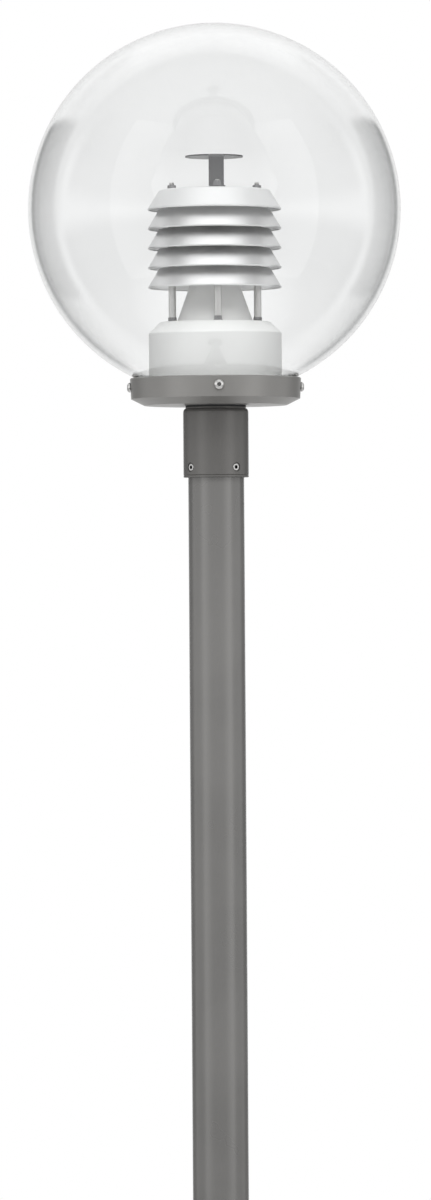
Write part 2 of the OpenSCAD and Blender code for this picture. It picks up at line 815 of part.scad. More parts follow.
// A spun can, open below, with a slanted shoulder and a hole for the lampholder
module gear_housing() {
  hole_r = holder_r + 1;
  slant = atan2(shoulder_h, shoulder_w);
  low = [housing_r - shoulder_bend, housing_h - shoulder_h - shoulder_bend * tan(45 - slant / 2)];
  high = [housing_r - shoulder_w - shoulder_bend * tan(slant / 2), housing_h - shoulder_bend];
  inner_bend = shoulder_bend - housing_t;
  color("gainsboro")
  translate([0, 0, z_floor])
  difference() {
    rotate_extrude($fn = 144)
      polygon(concat([[housing_r - housing_t, 0], [housing_r, 0]],
        arc(low.x, low.y, shoulder_bend, 0, 90 - slant, 5),
        arc(high.x, high.y, shoulder_bend, 90 - slant, 90, 5),
        [[hole_r, housing_h], [hole_r, housing_h - housing_t]],
        arc(high.x, high.y, inner_bend, 90, 90 - slant, 5),
        arc(low.x, low.y, inner_bend, 90 - slant, 0, 5)));
    translate([0, 0, housing_h - housing_t - cut]) {
      around(rod_count, rod_circle_r, rod_angle)
        cylinder(r = rod_hole_r, h = housing_t + 2 * cut, $fn = screw_fn);
      for (side = [-1, 1])
        translate([side * bracket_screw_x, 0, 0])
          cylinder(r = bracket_screw_d / 2 + hole_fit, h = housing_t + 2 * cut, $fn = screw_fn);
    }
  }
}

// One folded strip: a floor under the lampholder, two legs and two feet against the housing
module holder_bracket() {
  leg_h = holder_sink - housing_t + bracket_t;
  foot_x = bracket_leg_x + bracket_foot;
  color("lightsteelblue")
  translate([0, 0, z_holder - bracket_t])
  difference() {
    rotate([90, 0, 0])
      translate([0, 0, -bracket_w / 2])
        linear_extrude(bracket_w)
          polygon([[-foot_x, leg_h], [-foot_x, leg_h - bracket_t], [-bracket_leg_x, leg_h - bracket_t],
            [-bracket_leg_x, 0], [bracket_leg_x, 0], [bracket_leg_x, leg_h - bracket_t],
            [foot_x, leg_h - bracket_t], [foot_x, leg_h], [bracket_leg_x - bracket_t, leg_h],
            [bracket_leg_x - bracket_t, bracket_t], [-bracket_leg_x + bracket_t, bracket_t],
            [-bracket_leg_x + bracket_t, leg_h]]);
    for (side = [-1, 1])
      translate([side * bracket_screw_x, 0, leg_h - bracket_t - cut])
        cylinder(r = bracket_screw_d / 2 + thread_fit, h = bracket_t + 2 * cut, $fn = screw_fn);
  }
}

module bracket_screws() {
  shank = cone_t + housing_t + bracket_t + 1;
  color("silver")
  for (side = [-1, 1])
    translate([side * bracket_screw_x, 0, z_housing_top + cone_t])
      button_screw(bracket_screw_d, shank, bracket_head_d, bracket_head_h, bracket_socket);
}

// The glazed porcelain body, a stepped cup
module lampholder_body() {
  step = 3;
  foot_r = holder_r - step;
  waist = 14;
  color("white")
  translate([0, 0, z_holder])
  rotate_extrude()
    polygon(concat([[0, 0], [foot_r - edge, 0], [foot_r, edge], [foot_r, waist],
      [holder_r, waist + step]],
      arc(holder_r - 2, holder_h - 2, 2, 0, 90, 5),
      [[cup_r + 1, holder_h], [cup_r, holder_h - 1], [cup_r, holder_foot_h], [0, holder_foot_h]]));
}

// The brass screw shell inside the cup
module lampholder_shell() {
  shell_r = cup_r - thread_fit;
  turned_in_r = shell_r - 5;
  color("gold")
  translate([0, 0, z_holder + holder_foot_h])
  rotate_extrude()
    polygon([[turned_in_r, 0], [shell_r, 0], [shell_r, shell_h], [shell_r - shell_t, shell_h],
      [shell_r - shell_t, shell_t], [turned_in_r, shell_t]]);
}

// The sprung centre contact, a leaf folded back over itself
module holder_contact() {
  leaf_t = 0.6;
  leaf_w = 8;
  leaf_x = 7;
  tip_x = 5;
  leaf_top = contact_h - air / 2;
  color("gold")
  translate([0, leaf_w / 2, z_holder + holder_foot_h])
  rotate([90, 0, 0])
    linear_extrude(leaf_w)
      polygon([[-leaf_x, 0], [leaf_x, 0], [leaf_x, leaf_t], [leaf_t - leaf_x, leaf_t],
        [leaf_t - leaf_x, leaf_top - leaf_t], [tip_x, leaf_top - leaf_t], [tip_x, leaf_top],
        [-leaf_x, leaf_top]]);
}

// A coated elliptical lamp with its screw cap, sealed and made as one solid
module lamp() {
  belly_r = lamp_d / 2;
  dome_h = lamp_len - lamp_belly_h;
  color("ivory")
  translate([0, 0, z_lamp])
  rotate_extrude()
    polygon(concat([[0, 0], [4.5, 0], [4.5, 1.5], [11, 3.5], [lamp_cap_r, 5],
      [lamp_cap_r, lamp_cap_h], [lamp_neck_r, lamp_cap_h + 1]],
      [for (i = [0:8]) let (t = i / 8)
        [lamp_neck_r + (belly_r - lamp_neck_r) * (1 - cos(180 * t)) / 2,
         lamp_neck_h + (lamp_belly_h - lamp_neck_h) * t]],
      [for (i = [1:12]) [belly_r * cos(i * 7.5), lamp_belly_h + dome_h * sin(i * 7.5)]]));
}

// A spun cone with its foot turned in, so that the bracket's screws clamp it
module cone_reflector() {
  color("darkgray")
  translate([0, 0, z_housing_top])
  difference() {
    rotate_extrude($fn = 144)
      polygon([[cone_flange_r, 0], [cone_foot_r, 0], [cone_foot_r, cone_t],
        [cone_mouth_r + cone_t, cone_h], [cone_mouth_r, cone_h], [cone_foot_r - cone_t, cone_t],
        [cone_flange_r, cone_t]]);
    for (side = [-1, 1])
      translate([side * bracket_screw_x, 0, -cut])
        cylinder(r = bracket_screw_d / 2 + hole_fit, h = cone_t + 2 * cut, $fn = screw_fn);
  }
}

module tie_rods() {
  color("silver")
  around(rod_count, rod_circle_r, rod_angle)
    translate([0, 0, z_rod_foot]) {
      cylinder(d = rod_d, h = z_rod_top - z_rod_foot - edge, $fn = screw_fn);
      translate([0, 0, z_rod_top - z_rod_foot - edge])
        cylinder(d1 = rod_d, d2 = rod_d - 2 * edge, h = edge, $fn = screw_fn);
    }
}

module foot_washers() {
  color("silver")
  translate([0, 0, z_housing_top])
    around(rod_count, rod_circle_r, rod_angle) ring(washer_d / 2, rod_hole_r, washer_t, $fn = 48);
}

module foot_nuts() {
  color("dimgray")
  translate([0, 0, z_housing_top + washer_t])
    around(rod_count, rod_circle_r, rod_angle)
      nut(rod_nut_af, rod_r + thread_fit, rod_nut_h);
}

// The spacer tubes between two levels, one on each rod
module spacers(from, to) {
  translate([0, 0, from])
    around(rod_count, rod_circle_r, rod_angle)
      ring(spacer_d / 2, rod_hole_r, to - from, $fn = 48);
}

module lower_spacers() {
  color("silver") spacers(z_spacer_foot, z_flange(1) - ring_t);
}

module ring_spacers() {
  color("silver") {
    for (i = [1:ring_count - 1]) spacers(z_flange(i), z_flange(i + 1) - ring_t);
    spacers(z_flange(ring_count), z_cap_top - ring_t);
  }
}

// The louvres' section: a flat top, a slanting skirt and an upright lip, in sheet of one thickness
function louvre_section(inner_r, fold_r, h, bend) =
  let (slant = atan2(h - ring_lip_h, ring_r - fold_r),
       lip_back = ring_t * (1 - sin(slant)) / cos(slant),
       bend_x = fold_r - bend * tan(slant / 2))
  concat([[ring_r, 0], [ring_r, ring_lip_h]],
    arc(bend_x, h - bend, bend, 90 - slant, 90, 6),
    [[inner_r, h], [inner_r, h - ring_t]],
    arc(bend_x, h - bend, bend - ring_t, 90, 90 - slant, 6),
    [[ring_r - ring_t, ring_lip_h - lip_back], [ring_r - ring_t, 0]]);

module louvre_ring(i) {
  color("whitesmoke")
  translate([0, 0, z_ring(i)])
  difference() {
    rotate_extrude($fn = 144)
      polygon(louvre_section(ring_bore_r, ring_fold_r, ring_h, ring_t + ring_bend_in_r));
    translate([0, 0, ring_h - ring_t - cut])
      around(rod_count, rod_circle_r, rod_angle)
        cylinder(r = rod_hole_r, h = ring_t + 2 * cut, $fn = screw_fn);
  }
}

module louvre_cap() {
  color("whitesmoke")
  translate([0, 0, z_cap])
  difference() {
    rotate_extrude($fn = 144)
      polygon(louvre_section(0, cap_fold_r, cap_h, cap_round));
    translate([0, 0, cap_h - ring_t - cut])
      around(rod_count, rod_circle_r, rod_angle)
        cylinder(r = rod_hole_r, h = ring_t + 2 * cut, $fn = screw_fn);
  }
}

// One folded sheet: a foot under the front rod's nut, an upright strip and a round disc
module heat_deflector() {
  outer_bend = fold_r + deflector_t;
  foot_edge = 2.5;
  foot_end = rod_circle_r + washer_d / 2 + foot_edge;
  top = disc_rise;
  color("dimgray")
  rotate([0, 0, rod_angle])
  translate([0, 0, z_cap_top])
  difference() {
    union() {
      rotate([90, 0, 0])
        translate([0, 0, -strip_w / 2])
          linear_extrude(strip_w)
            polygon(concat([[foot_end, 0]],
              arc(strip_out - deflector_t + outer_bend, outer_bend, outer_bend, 270, 180, 5),
              arc(strip_out - outer_bend, top - outer_bend, fold_r, 0, 90, 5),
              [[0, top - deflector_t], [0, top]],
              arc(strip_out - outer_bend, top - outer_bend, outer_bend, 90, 0, 5),
              arc(strip_out - deflector_t + outer_bend, outer_bend, fold_r, 180, 270, 5),
              [[foot_end, deflector_t]]));
      translate([0, 0, top - deflector_t]) cylinder(d = disc_d, h = deflector_t, $fn = 144);
    }
    translate([rod_circle_r, 0, -cut])
      cylinder(r = rod_hole_r, h = deflector_t + 2 * cut, $fn = screw_fn);
  }
}

// Height of what lies under the washer of each rod: the front one also holds the deflector
function cap_seat(i) = z_cap_top + (i == 0 ? deflector_t : 0);

module cap_washers() {
  color("silver")
  for (i = [0:rod_count - 1])
    around(1, rod_circle_r, rod_angle + i * 360 / rod_count)
      translate([0, 0, cap_seat(i)]) ring(washer_d / 2, rod_hole_r, washer_t, $fn = 48);
}

module rod_nuts() {
  color("silver")
  for (i = [0:rod_count - 1])
    around(1, rod_circle_r, rod_angle + i * 360 / rod_count)
      translate([0, 0, cap_seat(i) + washer_t]) nut(rod_nut_af, rod_r + thread_fit, rod_nut_h);
}

base_flange();
pole_tube();
pole_sleeve();
sleeve_set_screws();
sleeve_gasket();
canopy();
canopy_bolts();
cable_grommet();
globe_gasket();
globe();
globe_screws();
gear_tray();
tray_nuts();
ballast_core();
ballast_winding();
ballast_screws();
capacitor();
ignitor();
stud_nuts();
terminal_block();
terminal_screws();
earth_screw();
gear_housing();
holder_bracket();
bracket_screws();
lampholder_body();
lampholder_shell();
holder_contact();
lamp();
cone_reflector();
tie_rods();
foot_washers();
foot_nuts();
lower_spacers();
louvre_ring(1);  // louvre_ring_1
louvre_ring(2);  // louvre_ring_2
louvre_ring(3);  // louvre_ring_3
louvre_ring(4);  // louvre_ring_4
ring_spacers();
louvre_cap();
heat_deflector();
cap_washers();
rod_nuts();
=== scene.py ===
"""Finishes, studio and camera for the globe street lamp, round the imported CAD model."""

import logging
import math
from dataclasses import dataclass, field
from enum import Enum

import bpy
from bpy.types import Material, Node, NodeSocket, NodeTree, Object
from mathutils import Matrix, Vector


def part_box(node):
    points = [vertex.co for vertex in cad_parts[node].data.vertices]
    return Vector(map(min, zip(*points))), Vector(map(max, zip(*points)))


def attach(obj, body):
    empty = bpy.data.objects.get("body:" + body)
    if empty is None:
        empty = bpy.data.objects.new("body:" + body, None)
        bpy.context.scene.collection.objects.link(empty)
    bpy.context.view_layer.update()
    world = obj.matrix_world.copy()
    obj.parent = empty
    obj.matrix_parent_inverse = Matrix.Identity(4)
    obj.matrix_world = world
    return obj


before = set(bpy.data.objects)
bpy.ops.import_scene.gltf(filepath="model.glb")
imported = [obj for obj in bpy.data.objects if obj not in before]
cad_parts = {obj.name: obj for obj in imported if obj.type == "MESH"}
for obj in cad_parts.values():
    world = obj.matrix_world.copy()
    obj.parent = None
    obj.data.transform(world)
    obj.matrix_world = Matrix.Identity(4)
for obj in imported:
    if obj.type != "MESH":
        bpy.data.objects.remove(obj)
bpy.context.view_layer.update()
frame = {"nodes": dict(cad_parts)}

log = logging.getLogger("globe_lamp")

Colour = tuple[float, float, float]
Span = tuple[float, float]
PHOTO_WIDTH = 431
PHOTO_HEIGHT = 1200
SENSOR_MM = 36.0

# Spans of a noise's value: nearly all of it, and its upper part
NOISE_BODY: Span = (0.3, 0.7)
NOISE_TOP: Span = (0.4, 0.8)


class Grain(Enum):
    """The way a metal's fine marks run."""

    SPUN = "spun"
    DRAWN = "drawn"
    ROLLED = "rolled"


class Side(Enum):
    """The side of the lamp that a soft box stands on, as its sign in x."""

    LEFT = -1
    RIGHT = 1


# How far each grain squeezes a noise, per metre in x, y and z. Spinning takes, in their place, the height
# plus and less the radius, per metre, and the turn, per radian.
GRAIN_SCALES: dict[Grain, tuple[float, float, float]] = {
    Grain.SPUN: (1800.0, 1800.0, 0.7),
    Grain.DRAWN: (2200.0, 2200.0, 25.0),
    Grain.ROLLED: (40.0, 1500.0, 1500.0),
}


class NodeGraph:
    """Adds and joins nodes in one tree."""

    def __init__(self, tree: NodeTree) -> None:
        """Keeps the tree that the nodes go into.

        Args:
            tree: The node tree of a material, a group or the world.
        """
        self.tree = tree

    def add(self, kind: str, **settings: object) -> Node:
        """Adds one node.

        Args:
            kind: Blender's name for the node's type.
            **settings: Attributes to set on the node.

        Returns:
            The new node.
        """
        node = self.tree.nodes.new(kind)
        for name, value in settings.items():
            setattr(node, name, value)
        return node

    def feed(self, socket: NodeSocket, value: NodeSocket | float | tuple[float, ...]) -> None:
        """Joins an output to an input, or writes a constant on it.

        Args:
            socket: The input.
            value: An output socket, a number or a tuple.
        """
        if isinstance(value, NodeSocket):
            self.tree.links.new(value, socket)
        else:
            socket.default_value = value

    def math(self, operation: str, *values: NodeSocket | float, clamp: bool = False) -> NodeSocket:
        """Adds a Math node.

        Args:
            operation: The node's operation.
            *values: Its inputs, in order.
            clamp: Whether the result is kept between 0 and 1.

        Returns:
            The result's socket.
        """
        node = self.add("ShaderNodeMath", operation=operation, use_clamp=clamp)
        for socket, value in zip(node.inputs, values):
            self.feed(socket, value)
        return node.outputs[0]

    def span(self, value: NodeSocket, low: float, high: float,
             to_low: NodeSocket | float = 0.0, to_high: NodeSocket | float = 1.0) -> NodeSocket:
        """Maps a value smoothly from one span to another.

        Args:
            value: The value to map.
            low: Where the change begins.
            high: Where it ends.
            to_low: The result up to low.
            to_high: The result from high on.

        Returns:
            The result's socket.
        """
        node = self.add("ShaderNodeMapRange", interpolation_type="SMOOTHSTEP")
        for name, item in (("Value", value), ("From Min", low), ("From Max", high),
                           ("To Min", to_low), ("To Max", to_high)):
            self.feed(node.inputs[name], item)
        return node.outputs["Result"]

    def noise(self, vector: NodeSocket, scale: NodeSocket | float, detail: float = 2.0) -> NodeSocket:
        """Adds a Noise Texture.

        Args:
            vector: The coordinates.
            scale: The noise's scale.
            detail: Its detail.

        Returns:
            The noise's value.
        """
        node = self.add("ShaderNodeTexNoise")
        self.feed(node.inputs["Vector"], vector)
        self.feed(node.inputs["Scale"], scale)
        node.inputs["Detail"].default_value = detail
        return node.outputs[0]

    def mix(self, factor: NodeSocket | float, a: NodeSocket | Colour, b: NodeSocket | Colour) -> NodeSocket:
        """Blends two colours.

        Args:
            factor: 0 for the first colour, 1 for the second.
            a: The first colour.
            b: The second colour.

        Returns:
            The blended colour.
        """
        node = self.add("ShaderNodeMix", data_type="RGBA")
        self.feed(node.inputs[0], factor)
        for socket, value in ((node.inputs[6], a), (node.inputs[7], b)):
            self.feed(socket, value if isinstance(value, NodeSocket) else (*value, 1.0))
        return node.outputs[2]

    def blend_to_clear(self, material: Material, factor: NodeSocket, shader: Node,
                       colour: Colour = (1.0, 1.0, 1.0)) -> None:
        """Ends a material in a blend of its shader and plain see-through.

        Args:
            material: The material.
            factor: 0 for the shader, 1 for see-through.
            shader: The material's Principled BSDF.
            colour: What passes through where it is see-through.
        """
        clear = self.add("ShaderNodeBsdfTransparent")
        clear.inputs["Color"].default_value = (*colour, 1.0)
        mixed = self.add("ShaderNodeMixShader")
        for socket, value in zip(mixed.inputs, (factor, shader.outputs[0], clear.outputs[0])):
            self.feed(socket, value)
        self.feed(material.node_tree.nodes["Material Output"].inputs["Surface"], mixed.outputs[0])


class EffectGroup:
    """A shader node group that several finishes share, with a colour, a roughness and a height."""

    OUTPUTS = {"Color": "NodeSocketColor", "Roughness": "NodeSocketFloat", "Height": "NodeSocketFloat"}

    def __init__(self, name: str, inputs: dict[str, float | Colour]) -> None:
        """Makes an empty group with named inputs and outputs.

        Args:
            name: The group's name.
            inputs: Each input's name and default.
        """
        self.tree = bpy.data.node_groups.new(name, "ShaderNodeTree")
        for key, default in inputs.items():
            coloured = isinstance(default, tuple)
            kind = "NodeSocketColor" if coloured else "NodeSocketFloat"
            socket = self.tree.interface.new_socket(name=key, in_out="INPUT", socket_type=kind)
            socket.default_value = (*default, 1.0) if coloured else default
        for key, kind in self.OUTPUTS.items():
            self.tree.interface.new_socket(name=key, in_out="OUTPUT", socket_type=kind)
        self.graph = NodeGraph(self.tree)
        self.given = self.graph.add("NodeGroupInput").outputs
        self.wanted = self.graph.add("NodeGroupOutput").inputs
        self.place = self.graph.add("ShaderNodeTexCoord").outputs["Object"]

    def put(self, key: str, value: NodeSocket) -> None:
        """Joins a result to the group's output of that name."""
        self.graph.feed(self.wanted[key], value)


@dataclass(frozen=True)
class PaintFilm:
    """A sprayed coat: orange peel, slight cloudiness and dust on what faces up."""

    cloud_scale: float = 9.0
    cloud_detail: float = 4.0
    cloud_span: Span = (0.35, 0.65)
    cloud_depth: float = 0.12
    cloud_colour: Colour = (0.02, 0.02, 0.02)
    cloud_roughness: float = 0.035
    speck_scale: float = 2600.0
    thin_dust: float = 0.5
    dust_colour: Colour = (0.46, 0.44, 0.41)
    dust_roughness: float = 0.4
    faces_up: Span = (0.55, 1.0)

    def make(self) -> EffectGroup:
        """Makes the group.

        Returns:
            The group, with Peel Scale and Dust beside its colour and roughness.
        """
        group = EffectGroup("paint_film", {"Color": (0.3, 0.3, 0.3), "Roughness": 0.4, "Peel Scale": 900.0,
                                           "Dust": 0.2})
        g, given = group.graph, group.given
        cloud = g.noise(group.place, self.cloud_scale, self.cloud_detail)
        darker = g.mix(self.cloud_depth, given["Color"], self.cloud_colour)
        clouded = g.mix(g.span(cloud, *self.cloud_span), darker, given["Color"])
        normal = g.add("ShaderNodeSeparateXYZ")
        g.feed(normal.inputs[0], g.add("ShaderNodeNewGeometry").outputs["Normal"])
        settled = g.math("MULTIPLY", g.span(normal.outputs["Z"], *self.faces_up), given["Dust"])
        specks = g.span(g.noise(group.place, self.speck_scale, 0.0), *NOISE_BODY, self.thin_dust, 1.0)
        dust = g.math("MULTIPLY", settled, specks)
        group.put("Color", g.mix(dust, clouded, self.dust_colour))
        uneven = g.span(cloud, *NOISE_BODY, -self.cloud_roughness, self.cloud_roughness)
        rough = g.math("ADD", given["Roughness"], uneven)
        dusty = g.math("MULTIPLY", dust, self.dust_roughness)
        group.put("Roughness", g.math("ADD", rough, dusty, clamp=True))
        group.put("Height", g.noise(group.place, given["Peel Scale"], 1.0))
        return group


@dataclass(frozen=True)
class MetalGrain:
    """Fine marks left by spinning, drawing or rolling a metal, and faint stains."""

    grain: Grain
    stain_scale: float = 24.0
    stain_detail: float = 3.0
    stain_span: Span = (0.45, 0.75)
    stain_depth: float = 0.35
    stain_colour: Colour = (0.30, 0.29, 0.28)
    stain_roughness: float = 0.04

    def along_grain(self, group: EffectGroup) -> NodeSocket:
        """Squeezes the place on the metal, so that a noise turns into marks along the grain.

        Args:
            group: The group that takes the nodes.

        Returns:
            The squeezed coordinates.
        """
        g = group.graph
        parts = g.add("ShaderNodeSeparateXYZ")
        g.feed(parts.inputs[0], group.place)
        places = tuple(parts.outputs)
        if self.grain is Grain.SPUN:
            x, y, z = places
            radius = g.math("SQRT", g.math("ADD", g.math("MULTIPLY", x, x), g.math("MULTIPLY", y, y)))
            places = (g.math("ADD", z, radius), g.math("SUBTRACT", z, radius), g.math("ARCTAN2", y, x))
        squeezed = g.add("ShaderNodeCombineXYZ")
        for socket, place, scale in zip(squeezed.inputs, places, GRAIN_SCALES[self.grain]):
            g.feed(socket, g.math("MULTIPLY", place, scale))
        return squeezed.outputs[0]

    def make(self) -> EffectGroup:
        """Makes the group.

        Returns:
            The group, with Marks and Tarnish beside its colour and roughness.
        """
        group = EffectGroup(f"metal_grain_{self.grain.value}",
                            {"Color": (0.8, 0.8, 0.8), "Roughness": 0.3, "Marks": 0.06, "Tarnish": 0.1})
        g, given = group.graph, group.given
        marks = g.noise(self.along_grain(group), 1.0, 1.0)
        stain = g.noise(group.place, self.stain_scale, self.stain_detail)
        dull = g.mix(self.stain_depth, given["Color"], self.stain_colour)
        stained = g.math("MULTIPLY", g.span(stain, *self.stain_span), given["Tarnish"])
        group.put("Color", g.mix(stained, given["Color"], dull))
        spread = g.math("MULTIPLY", g.math("SUBTRACT", marks, 0.5), given["Marks"])
        rougher = g.math("ADD", spread, g.span(stain, *NOISE_TOP, 0.0, self.stain_roughness))
        group.put("Roughness", g.math("ADD", given["Roughness"], rougher, clamp=True))
        group.put("Height", marks)
        return group


@dataclass(frozen=True)
class Moulding:
    """A moulded, dipped or glazed surface: fine texture and slight flow marks."""

    flow_scale: float = 30.0
    flow_detail: float = 3.0
    flow_depth: float = 0.12
    flow_colour: Colour = (0.05, 0.05, 0.05)
    flow_roughness: float = 0.04

    def make(self) -> EffectGroup:
        """Makes the group.

        Returns:
            The group, with Texture Scale beside its colour and roughness.
        """
        group = EffectGroup("moulding", {"Color": (0.5, 0.5, 0.5), "Roughness": 0.5, "Texture Scale": 1200.0})
        g, given = group.graph, group.given
        flow = g.noise(group.place, self.flow_scale, self.flow_detail)
        marks = g.span(flow, *NOISE_TOP, 0.0, self.flow_depth)
        group.put("Color", g.mix(marks, given["Color"], self.flow_colour))
        uneven = g.span(flow, *NOISE_BODY, -self.flow_roughness, self.flow_roughness)
        group.put("Roughness", g.math("ADD", given["Roughness"], uneven, clamp=True))
        group.put("Height", g.noise(group.place, given["Texture Scale"], 1.0))
        return group


@dataclass(frozen=True)
class Finish:
    """What every finish has: a name, a colour and a roughness."""

    name: str
    colour: Colour
    roughness: float

    def shader(self) -> tuple[Material, NodeGraph, Node]:
        """Makes a material with its Principled BSDF.

        Returns:
            The material, its graph and the shader.
        """
        material = bpy.data.materials.new(self.name)
        material.use_nodes = True
        graph = NodeGraph(material.node_tree)
        shader = material.node_tree.nodes["Principled BSDF"]
        return material, graph, shader

    def dress(self, graph: NodeGraph, shader: Node, group: EffectGroup,
              values: dict[str, float], depth: float, strength: float) -> None:
        """Joins an effect group to the shader's colour, roughness and bump.

        Args:
            graph: The material's graph.
            shader: Its Principled BSDF.
            group: The effect group.
            values: The group's values for this finish.
            depth: The bump's distance in metres.
            strength: The bump's strength.
        """
        placed = graph.add("ShaderNodeGroup", node_tree=group.tree)
        placed.inputs["Color"].default_value = (*self.colour, 1.0)
        placed.inputs["Roughness"].default_value = self.roughness
        for key, value in values.items():
            placed.inputs[key].default_value = value
        bump = graph.add("ShaderNodeBump")
        bump.inputs["Distance"].default_value = depth
        bump.inputs["Strength"].default_value = strength
        graph.feed(bump.inputs["Height"], placed.outputs["Height"])
        graph.feed(shader.inputs["Base Color"], placed.outputs["Color"])
        graph.feed(shader.inputs["Roughness"], placed.outputs["Roughness"])
        graph.feed(shader.inputs["Normal"], bump.outputs["Normal"])


@dataclass(frozen=True)
class Paint(Finish):
    """A sprayed or powder coat, with some metal flake in it."""

    peel_scale: float = 900.0
    peel_depth: float = 0.00005
    peel_strength: float = 0.5
    dust: float = 0.15
    flake: float = 0.35

    def make(self, groups: dict[str, EffectGroup]) -> Material:
        """Makes the coat from the paint film group.

        Args:
            groups: The shared effect groups.

        Returns:
            The material.
        """
        material, graph, shader = self.shader()
        shader.inputs["Metallic"].default_value = self.flake
        self.dress(graph, shader, groups["paint"], {"Peel Scale": self.peel_scale, "Dust": self.dust},
                   self.peel_depth, self.peel_strength)
        return material


@dataclass(frozen=True)
class Metal(Finish):
    """Bare, plated or anodised metal."""

    grain: Grain = Grain.SPUN
    marks: float = 0.08
    tarnish: float = 0.2
    depth: float = 0.00001
    strength: float = 0.4
    metallic: float = 1.0
    # Painted shade: ambient occlusion darkens the colour towards a near-black down in sockets and corners.
    cavity_shade: float = 0.0
    cavity_shade_reach: float = 0.004
    cavity_shade_span: Span = (0.45, 0.9)
    cavity_shade_colour: Colour = (0.02, 0.02, 0.02)
    cavity_shade_samples: int = 8

    def make(self, groups: dict[str, EffectGroup]) -> Material:
        """Makes the metal from the grain group of its kind, with painted shade down in sockets and corners.

        Args:
            groups: The shared effect groups.

        Returns:
            The material.
        """
        material, graph, shader = self.shader()
        shader.inputs["Metallic"].default_value = self.metallic
        self.dress(graph, shader, groups[self.grain.value], {"Marks": self.marks, "Tarnish": self.tarnish},
                   self.depth, self.strength)
        # Painted shade in sockets and corners, from ambient occlusion, not dirt.
        if self.cavity_shade > 0.0:
            colour = shader.inputs["Base Color"]
            hidden = graph.add("ShaderNodeAmbientOcclusion", samples=self.cavity_shade_samples)
            hidden.inputs["Distance"].default_value = self.cavity_shade_reach
            shade = graph.span(hidden.outputs["AO"], *self.cavity_shade_span, self.cavity_shade, 0.0)
            graph.feed(colour, graph.mix(shade, colour.links[0].from_socket, self.cavity_shade_colour))
        return material


@dataclass(frozen=True)
class Moulded(Finish):
    """Plastic, rubber, silicone, resin, porcelain or coated glass."""

    texture_scale: float = 1200.0
    depth: float = 0.00004
    strength: float = 0.4
    coat: float = 0.0
    coat_roughness: float = 0.08

    def make(self, groups: dict[str, EffectGroup]) -> Material:
        """Makes the surface from the moulding group.

        Args:
            groups: The shared effect groups.

        Returns:
            The material.
        """
        material, graph, shader = self.shader()
        shader.inputs["Coat Weight"].default_value = self.coat
        shader.inputs["Coat Roughness"].default_value = self.coat_roughness
        self.dress(graph, shader, groups["moulding"], {"Texture Scale": self.texture_scale},
                   self.depth, self.strength)
        return material


@dataclass(frozen=True)
class ClearAcrylic(Finish):
    """Clear blown acrylic, which lets light and shadow rays straight through."""

    ior: float = 1.49
    # Painted reflection: the globe's tint darkens towards this grey at grazing view.
    painted_rim_shade_colour: Colour = (0.5, 0.51, 0.51)
    painted_rim_shade_start: float = 0.66
    ripple_scale: float = 5.0
    ripple_depth: float = 0.0003
    ripple_strength: float = 0.12
    shadow_colour: Colour = (0.97, 0.975, 0.975)

    def make(self, groups: dict[str, EffectGroup]) -> Material:
        """Makes the clear globe, with a painted reflection: darker where the eye looks along its wall,
        standing in for the dark surroundings that the rim reflects.

        Args:
            groups: The shared effect groups, of which the moulding group gives the faint ripple.

        Returns:
            The material.
        """
        material, graph, shader = self.shader()
        shader.inputs["Transmission Weight"].default_value = 1.0
        shader.inputs["IOR"].default_value = self.ior
        shader.inputs["Roughness"].default_value = self.roughness
        placed = graph.add("ShaderNodeGroup", node_tree=groups["moulding"].tree)
        placed.inputs["Texture Scale"].default_value = self.ripple_scale
        bump = graph.add("ShaderNodeBump")
        bump.inputs["Distance"].default_value = self.ripple_depth
        bump.inputs["Strength"].default_value = self.ripple_strength
        graph.feed(bump.inputs["Height"], placed.outputs["Height"])
        graph.feed(shader.inputs["Normal"], bump.outputs["Normal"])
        # Painted reflection: the tint darkens at grazing view, for the dark rim that reflected surroundings
        # give.
        facing = graph.add("ShaderNodeLayerWeight")
        painted_rim_shade = graph.span(facing.outputs["Facing"], self.painted_rim_shade_start, 1.0)
        graph.feed(shader.inputs["Base Color"], graph.mix(painted_rim_shade, self.colour, self.painted_rim_shade_colour))
        path = graph.add("ShaderNodeLightPath").outputs
        through = graph.math("MAXIMUM", path["Is Shadow Ray"], path["Is Diffuse Ray"])
        graph.blend_to_clear(material, through, shader, self.shadow_colour)
        return material


